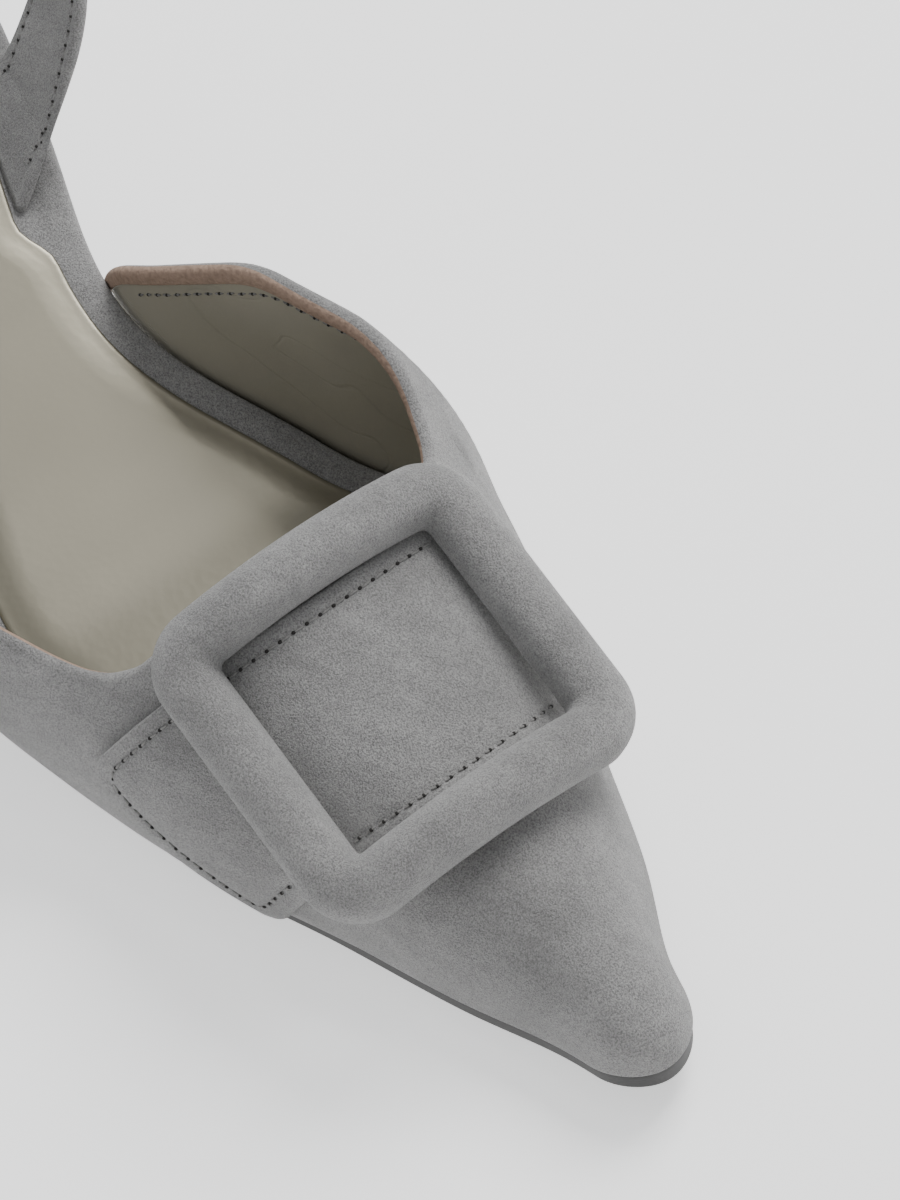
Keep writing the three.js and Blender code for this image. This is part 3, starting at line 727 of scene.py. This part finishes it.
def half_sole(x, side):
    drawn = smooth(share_at(x), TOP_LINE["inner"][0], TOP_LINE["outer"][3])
    return waist_plan(x, side) * (1 - drawn) + forefoot_plan(x, side) * drawn


def sole_top(x, distance):
    return sole_low(x) + SOLE_THICK - SOLE_ROUND * (1 - round_end(distance, SOLE_ROUND))


outsole = plate("outsole_black_edge", x_at(0) + HEEL_BREAST + GAP, x_at(1) - SOLE_REVEAL,
                half_sole, sole_low, sole_top, sole_rows)
dress(outsole, [sole_black], "outsole")

# %% [markdown]
# The heel is a block covered in suede, slim at its top lift and swelling into a cup under the seat.
# Its rings are round at the back and flat at the breast, and they rise to the underside of the
# insole. The back moves out early and the breast late, which gives the curve of a kitten heel.
# The breast then stands upright beside the sole's end.

# %% Heel and top lift
BACK_BEND, BREAST_BEND, WIDTH_BEND = 2.2, 4.0, 2.6
D_ROUND, LIFT_CORNER, SEAT_CORNER = 0.55, 0.03, 0.01


def d_ring(steps=28):
    along = (1 - np.cos(np.pi * np.arange(steps + 1) / steps)) / 2
    return along, round_end(along, D_ROUND) * round_end(1 - along, LIFT_CORNER)


def heel_net(levels, back, front, wide, height):
    along, d_wide = d_ring()
    rows = []
    for t in levels:
        x = back(t) + (front(t) - back(t)) * along
        outer, inner = (points(x, side * wide(t, along, d_wide, side), height(t, along))
                        for side in (-1, 1))
        rows.append(np.concatenate([outer, inner[::-1]]))
    return np.stack(rows)


def mix(a, b, t):
    return a + (b - a) * t


seat_plan = plan_inside(WALL + 2 * GAP)
seat_back, seat_front = x_at(0) + WALL + 2 * GAP, x_at(0) + HEEL_BREAST
heel_bottom = LIFT_THICK + GAP / 2
under_sole = 1 - (SOLE_THICK + GAP) / (float(board_low(seat_front)) - heel_bottom)


def heel_half(t, along, d_wide, side):
    seat = seat_plan(mix(seat_back, seat_front, along), side) * round_end(1 - along, SEAT_CORNER)
    return mix(LIFT_WIDTH / 2 * d_wide, seat, t ** WIDTH_BEND)


def heel_height(t, along):
    return mix(heel_bottom, board_low(mix(seat_back, seat_front, along)) - GAP / 2, t)


heel = net("heel_suede_cover", heel_net(
    np.linspace(0, 1, 90),
    lambda t: mix(-LIFT_LENGTH / 2, seat_back, t ** BACK_BEND),
    lambda t: mix(LIFT_LENGTH / 2, seat_front, min(1, t / under_sole) ** BREAST_BEND),
    heel_half, heel_height), wrap=(False, True), paired=True)
dress(heel, [upper_suede], "heel")

# Each level's share of the thickness, and how far its ring is drawn in
lift_levels = [(0, .35), (.05, .15), (.15, 0), (.9, 0), (.97, .1), (1, .25)]
top_lift = net("top_lift_rubber", heel_net(
    lift_levels,
    lambda t: -LIFT_LENGTH / 2 + t[1], lambda t: LIFT_LENGTH / 2 - t[1],
    lambda t, along, d_wide, side: (LIFT_WIDTH / 2 - t[1]) * d_wide,
    lambda t, along: t[0] * LIFT_THICK + 0 * along,
), wrap=(False, True), paired=True)
dress(top_lift, [lift_rubber], "heel_top_lift")

# %% [markdown]
# The belt is a stitched suede strap that lies over the vamp. Its place is given by the distance
# from its free end and by the distance from its middle line, so that the same function lays the
# leather, the pressed channel under the stitches, and the stitches.

# %% Belt
# Level reach of a length that lies along the vamp's slope
SLANT = 0.9
BELT_HALF = BELT_WIDTH / 2 * SLANT
STITCH_IN, CHANNEL_WIDE, CHANNEL_DEEP = 2.4, 0.55, 0.22
BELT_ROUND, PUFF = 0.7, 0.25
EDGE_ROWS = np.array([0, .04, .12, .25, .45, .7, 1.0, 1.4, 1.8, 2.1, 2.4, 2.7,
                      3.0, 3.4, 4.0, 5.0, 6.5, 8.5])


def belt_start(across):
    return mix(TAB_REAR_TURN, TAB_FRONT_TURN, (across / BELT_HALF + 1) / 2)


def belt_point(across, turn, lift):
    sweep = mix(BELT_REAR_SWEEP, BELT_FRONT_SWEEP, (across / BELT_HALF + 1) / 2)
    middle_x = x_at(BELT_PLACE) - sweep * (1 - turn_from_foot(turn)) ** 2
    return outer_face(middle_x + across, turn, lift)


def belt_turn(across, distance):
    """The turn that lies a distance from the free end, along the belt."""
    turn = mix(belt_start(across), BELT_FAR_TURN, np.linspace(0, 1, 400))
    line = belt_point(np.full(len(turn), across), turn, GAP + BELT_THICK)
    run = np.concatenate([[0], np.cumsum(np.linalg.norm(np.diff(line, axis=0), axis=1))])
    return np.interp(distance, run, turn), run[-1]


def belt_net():
    inner_rows = np.linspace(EDGE_ROWS[-1], 2 * BELT_HALF - EDGE_ROWS[-1], 14)[1:-1]
    across_rows = np.concatenate([EDGE_ROWS, inner_rows, (2 * BELT_HALF - EDGE_ROWS)[::-1]])
    far = np.linspace(0, 1, 111)[1:]
    tops, lows = [], []
    for place in across_rows:
        wide = place / BELT_HALF - 1
        length = belt_turn(wide * BELT_HALF, 0)[1]
        along = np.concatenate([EDGE_ROWS, EDGE_ROWS[-1] + (length - EDGE_ROWS[-1]) * far])
        squeeze = TAB_CORNER * (1 - round_end(along, TAB_CORNER))
        across = wide * (BELT_HALF - squeeze)
        turn = np.array([belt_turn(a, d)[0] for a, d in zip(across, along)])
        edge = np.minimum(np.minimum(place, 2 * BELT_HALF - place) * (1 - squeeze / BELT_HALF), along)
        full = round_end(edge, BELT_ROUND)
        channel = CHANNEL_DEEP * np.exp(-((edge - STITCH_IN) / CHANNEL_WIDE) ** 2)
        puff = PUFF * smooth(edge, 2.5, 8)
        tops.append(belt_point(across, turn, GAP + BELT_THICK * (.5 + .5 * full) - channel + puff))
        lows.append(belt_point(across, turn, GAP + BELT_THICK * (.5 - .5 * full)))
    return np.stack(tops + lows[::-1], axis=1)


belt = net("buckle_belt_suede", belt_net(), wrap=(False, True), paired=True)
dress(belt, [upper_suede], "buckle_belt")

# %% [markdown]
# The buckle's frame is a padded square covered in suede. A loft between an outer and an inner
# rounded square gives bars with a half round section and nearly sharp inner corners, as leather
# has where it is pulled round a corner. It is bent over the vamp and comes down onto the belt.

# %% Frame
INNER_CORNER, BAR_FULLNESS, FLAT_RISE = 1.1, 0.8, 0.45
# The bar's section: its angle from the outer edge to the inner, and how far a place lies under it
BAR_TOP = [(angle, 0) for angle in np.linspace(0, math.pi, 25)]
BAR_UNDER = [(math.pi, -.25), (2.6, -.45), (.55, -.45), (0, -.25)]


def rounded_square(half_a, half_b, corner, arc=14, straight=26):
    """A route round a square with corners of one radius, in equal counts for every size."""
    route = []
    signs = [(1, 1), (-1, 1), (-1, -1), (1, -1)]
    for q, (sign_a, sign_b) in enumerate(signs):
        turns = math.pi / 2 * (q + np.linspace(0, 1, arc + 1))
        route += [(sign_a * (half_a - corner) + corner * math.cos(a),
                   sign_b * (half_b - corner) + corner * math.sin(a)) for a in turns]
        nxt = signs[(q + 1) % 4]
        end = math.pi / 2 * (q + 1)
        for t in np.linspace(0, 1, straight + 1)[1:-1]:
            route.append((mix(sign_a, nxt[0], t) * (half_a - corner) + corner * math.cos(end),
                          mix(sign_b, nxt[1], t) * (half_b - corner) + corner * math.sin(end)))
    return np.array(route)


def frame_net():
    centre = x_at(FRAME_PLACE)
    half_reach = FRAME_ALONG / 2 * SLANT
    ends = [vamp_height(centre + end * half_reach, np.array(0.)) for end in (-1, 1)]
    drop = ends[0] - ends[1]
    slope = math.atan2(float(drop), 2 * half_reach)
    outer = rounded_square(FRAME_ALONG / 2, FRAME_ACROSS / 2, FRAME_CORNER)
    inner = rounded_square(FRAME_ALONG / 2 - FRAME_BAR, FRAME_ACROSS / 2 - FRAME_BAR, INNER_CORNER)
    rings = []
    for angle, under in BAR_TOP + BAR_UNDER:
        share = (1 - math.cos(angle)) / 2
        place = outer + (inner - outer) * share
        lift = FRAME_HEIGHT * max(0, math.sin(angle)) ** BAR_FULLNESS if under == 0 else under
        bend = place[:, 1] / FRAME_BEND
        radius = FRAME_BEND + lift + FLAT_RISE
        out = radius * np.cos(bend) - FRAME_BEND
        rings.append(points(centre + place[:, 0] * math.cos(slope) + out * math.sin(slope),
                            radius * np.sin(bend),
                            -place[:, 0] * math.sin(slope) + out * math.cos(slope)))
    grid = np.stack(rings, axis=1)
    need = (vamp_height(grid[..., 0], grid[..., 1], 2 * GAP + BELT_THICK) - grid[..., 2]).max()
    grid[..., 2] += need
    return grid


buckle = net("buckle_frame_suede", frame_net(), wrap=(True, True))
dress(buckle, [upper_suede], "buckle_frame")

# %% [markdown]
# The slingback is a two-ply suede band. It comes up beside the sock, flares outwards, turns upright
# and runs slack round the heel. Each stop along it has a middle point, a direction for its width
# and one for its thickness, and its section is a flat rounded rectangle with a pressed channel.

# %% Strap
STRAP_SEAM_IN, STRAP_ROUND, ROOT_FADE, ROUNDS = 1.5, 0.6, 0.14, 6
STRAP_CHANNEL_WIDE, STRAP_CHANNEL_DEEP = 0.35, 0.14
STRAP_ROWS = np.array([0, .05, .15, .35, .65, .9, 1.2, 1.5, 1.8, 2.1, 2.6, 3.5, 5.0, 6.5])
strap_plan = plan_inside(WALL + GAP + STRAP_INSET)
strap_along, strap_rise = follow(STRAP, "turn", "along"), follow(STRAP, "turn", "rise")
strap_out, strap_lean = follow(STRAP, "turn", "out"), follow(STRAP, "turn", "lean")


def root_point(x, side):
    return points(x, side * strap_plan(x, side), board_high(x) + 2 * GAP)


def strap_stops(steps=150):
    """Middle points, width directions and thickness directions, from root to root."""
    i = np.arange(2 * steps + 1)
    turn = 1 - np.abs(i / steps - 1)
    side = np.where(i < steps, -1, 1)
    root = root_point(np.full(len(i), root_x), side)
    fade = 1 - smooth(turn, 0, 1)
    middle = points(root_x - STRAP_REACH * strap_along(turn),
                    root[:, 1] * fade + side * STRAP_OUT * strap_out(turn),
                    root[:, 2] + STRAP_RISE * strap_rise(turn))
    for _ in range(ROUNDS):
        middle[2:-2] = (middle[1:-3] + 2 * middle[2:-2] + middle[3:-1]) / 4
    tangent = np.gradient(middle, axis=0)
    tangent /= np.linalg.norm(tangent, axis=1, keepdims=True)
    ones = np.full(len(i), root_x)
    foot = root_point(ones + STRAP_ROOT / 2, side) - root_point(ones - STRAP_ROOT / 2, side)
    foot_unit = foot / np.linalg.norm(foot, axis=1, keepdims=True)
    lean = strap_lean(turn)[:, None]
    width = foot_unit * (1 - lean) + np.array([0, 0, 1.]) * lean
    width -= tangent * (width * tangent).sum(1, keepdims=True)
    width *= STRAP_WIDTH / np.linalg.norm(width, axis=1, keepdims=True)
    thick = np.cross(tangent, width)
    thick /= np.linalg.norm(thick, axis=1, keepdims=True)
    free = smooth(turn, 0, ROOT_FADE)[:, None]
    level_out = np.cross(np.array([0, 0, 1.]), foot)
    level_out /= np.linalg.norm(level_out, axis=1, keepdims=True)
    return middle, foot * (1 - free) + width * free, level_out * (1 - free) + thick * free


def strap_section():
    """Across and off-face places of the band's section, from one edge round to itself."""
    half = STRAP_WIDTH / 2
    places = np.concatenate([STRAP_ROWS, (2 * half - STRAP_ROWS)[::-1][1:]])
    inside = np.minimum(places, 2 * half - places)
    channel = STRAP_CHANNEL_DEEP * np.exp(-((inside - STRAP_SEAM_IN) / STRAP_CHANNEL_WIDE) ** 2)
    return (places - half) / half, STRAP_THICK / 2 * round_end(inside, STRAP_ROUND) - channel


middle_line, band_width, band_thick = strap_stops()
across_share, face_lift = strap_section()
band = [middle_line[:, None] + band_width[:, None] / 2 * across_share[None, :, None]
        + band_thick[:, None] * (sign * face_lift)[None, :, None] for sign in (1, -1)]
strap = net("slingback_suede_band", np.concatenate([band[0], band[1][:, ::-1]], axis=1),
            wrap=(False, True), paired=True)
dress(strap, [upper_suede], "slingback_strap")

# %% [markdown]
# The stitches are the one thing here that repeats, so Geometry Nodes make them. The tree turns a
# line of points into a curve, sets one small bead of thread at each pitch, lays it along the
# curve, and realizes the beads. Its sizes are named inputs, and its seed is fixed.

# %% Stitch tree
def stitch_tree():
    tree = bpy.data.node_groups.new("stitches_along_a_line", "GeometryNodeTree")
    face = tree.interface
    face.new_socket("Geometry", in_out="INPUT", socket_type="NodeSocketGeometry")
    for label, value in (("Pitch", .002), ("Stitch Length", .0013), ("Thread", .00035), ("Wander", .12)):
        face.new_socket(label, in_out="INPUT", socket_type="NodeSocketFloat").default_value = value
    face.new_socket("Finish", in_out="INPUT", socket_type="NodeSocketMaterial")
    face.new_socket("Geometry", in_out="OUTPUT", socket_type="NodeSocketGeometry")
    add, link = tree.nodes.new, tree.links.new
    given, done = add("NodeGroupInput"), add("NodeGroupOutput")
    line, pitch = add("GeometryNodeMeshToCurve"), add("GeometryNodeResampleCurve")
    pitch.mode = "LENGTH"
    link(given.outputs["Geometry"], line.inputs["Mesh"])
    link(line.outputs["Curve"], pitch.inputs["Curve"])
    link(given.outputs["Pitch"], pitch.inputs["Length"])
    bead, shape = add("GeometryNodeMeshUVSphere"), add("ShaderNodeCombineXYZ")
    bead.inputs["Segments"].default_value = 8
    bead.inputs["Rings"].default_value = 6
    bead.inputs["Radius"].default_value = 0.5
    link(given.outputs["Stitch Length"], shape.inputs["X"])
    link(given.outputs["Thread"], shape.inputs["Y"])
    link(given.outputs["Thread"], shape.inputs["Z"])
    tangent, turn = add("GeometryNodeInputTangent"), add("FunctionNodeAlignRotationToVector")
    turn.axis = "X"
    link(tangent.outputs["Tangent"], turn.inputs["Vector"])
    wander, wobble = add("FunctionNodeRandomValue"), add("FunctionNodeRotateRotation")
    wander.data_type = "FLOAT_VECTOR"
    wander.inputs["Seed"].default_value = 7
    away = add("ShaderNodeMath")
    away.operation = "MULTIPLY"
    away.inputs[1].default_value = -1
    link(given.outputs["Wander"], away.inputs[0])
    link(away.outputs[0], wander.inputs["Min"])
    link(given.outputs["Wander"], wander.inputs["Max"])
    link(turn.outputs["Rotation"], wobble.inputs["Rotation"])
    link(wander.outputs["Value"], wobble.inputs["Rotate By"])
    sewn = add("GeometryNodeInstanceOnPoints")
    link(pitch.outputs["Curve"], sewn.inputs["Points"])
    link(bead.outputs["Mesh"], sewn.inputs["Instance"])
    link(wobble.outputs["Rotation"], sewn.inputs["Rotation"])
    link(shape.outputs["Vector"], sewn.inputs["Scale"])
    real, finish = add("GeometryNodeRealizeInstances"), add("GeometryNodeSetMaterial")
    link(sewn.outputs["Instances"], real.inputs["Geometry"])
    link(real.outputs["Geometry"], finish.inputs["Geometry"])
    link(given.outputs["Finish"], finish.inputs["Material"])
    link(finish.outputs["Geometry"], done.inputs["Geometry"])
    return tree


STITCHES = stitch_tree()


def sew(name, lines, pitch, length, thread_size, finish=thread):
    """Sews along lines of points in mm. The stitches are one plain mesh."""
    verts, edges = [], []
    for line in lines:
        first = len(verts)
        verts += (np.asarray(line) * MM).tolist()
        edges += [(first + k, first + k + 1) for k in range(len(line) - 1)]
    mesh = bpy.data.meshes.new(name + "_line")
    mesh.from_pydata(verts, edges, [])
    guide = bpy.data.objects.new(name + "_line", mesh)
    bpy.context.scene.collection.objects.link(guide)
    modifier = guide.modifiers.new("stitches", "NODES")
    modifier.node_group = STITCHES
    values = {"Pitch": pitch * MM, "Stitch Length": length * MM,
              "Thread": thread_size * MM, "Finish": finish}
    for socket in STITCHES.interface.items_tree:
        if socket.in_out == "INPUT" and socket.name in values:
            modifier[socket.identifier] = values[socket.name]
    depsgraph = bpy.context.evaluated_depsgraph_get()
    sewn = bpy.data.meshes.new_from_object(guide.evaluated_get(depsgraph))
    guide.modifiers.remove(modifier)
    bpy.data.objects.remove(guide)
    for polygon in sewn.polygons:
        polygon.use_smooth = True
    piece = bpy.data.objects.new(name, sewn)
    bpy.context.scene.collection.objects.link(piece)
    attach(piece, "root")
    print(name, len(sewn.polygons), "faces")

# %% [markdown]
# The belt is sewn all round its free end, the lining along the top line, and the strap along both
# edges on both of its faces. The belt's and the strap's lines of points lie in the channels that
# were pressed for them. The same tree, half a pitch further on, sets small dark beads of painted
# shade where the needle's holes are, between the stitches.

# %% Stitches
STITCH_PITCH, HOLE_SHADE_LENGTH, HOLE_SHADE_WIDE = 2.0, 0.62, 0.50
STITCH_LENGTH, THREAD_WIDE, THREAD_SUNK = 1.6, 0.40, 0.06
RIM_SEAM_IN, RIM_THREAD_OFF, STRAP_THREAD_SUNK = 2.75, 0.05, 0.08
SEAM_CORNER, SEAM_STOP = TAB_CORNER - STITCH_IN + 1.2, 4


def belt_seam():
    side, corner = BELT_HALF - STITCH_IN, SEAM_CORNER
    length = min(belt_turn(s * side, 0)[1] for s in (-1, 1)) - SEAM_STOP
    quarter = np.linspace(0, math.pi / 2, 10)[1:]
    route = [(-side, d) for d in np.linspace(length, STITCH_IN + corner, 160)]
    route += [(-side + corner - corner * math.cos(a), STITCH_IN + corner - corner * math.sin(a))
              for a in quarter]
    route += [(a, STITCH_IN) for a in np.linspace(-side + corner, side - corner, 60)[1:]]
    route += [(side - corner + corner * math.sin(a), STITCH_IN + corner - corner * math.cos(a))
              for a in quarter]
    route += [(side, d) for d in np.linspace(STITCH_IN + corner, length, 160)[1:]]
    lift = GAP + BELT_THICK - CHANNEL_DEEP + THREAD_SUNK
    return np.array([belt_point(a, belt_turn(a, d)[0], lift) for a, d in route])


def rim_seam():
    turn = np.linspace(.03, .97, 300)
    edge, wide = x_at(top_line_at(turn)), rim_spread(turn)
    return inner_face(station(edge, wide, RIM_SEAM_IN), turn, RIM_THREAD_OFF)


def strap_seams():
    lines = []
    for edge in (-1, 1):
        for sign in (-1, 1):
            share = edge * (1 - STRAP_SEAM_IN / (STRAP_WIDTH / 2))
            lines.append((middle_line + band_width / 2 * share
                          + band_thick * sign * (STRAP_THICK / 2 - STRAP_THREAD_SUNK))[6:-6])
    return lines


def later(line, start):
    """The line without its first few mm."""
    run = np.concatenate([[0], np.cumsum(np.linalg.norm(np.diff(line, axis=0), axis=1))])
    keep = np.linspace(start, run[-1], len(line))
    return np.stack([np.interp(keep, run, line[:, k]) for k in range(3)], axis=1)


SEAMS = {"belt": [belt_seam()], "rim": [rim_seam()], "strap": strap_seams()}
for seam_name, lines in SEAMS.items():
    sew(seam_name + "_stitches", lines, STITCH_PITCH, STITCH_LENGTH, THREAD_WIDE)
    # The second line of beads, half a pitch on, is painted shade for the needle's holes.
    sew(seam_name + "_hole_shade_beads", [later(line, STITCH_PITCH / 2) for line in lines],
        STITCH_PITCH, HOLE_SHADE_LENGTH, HOLE_SHADE_WIDE, hole_shade_finish)
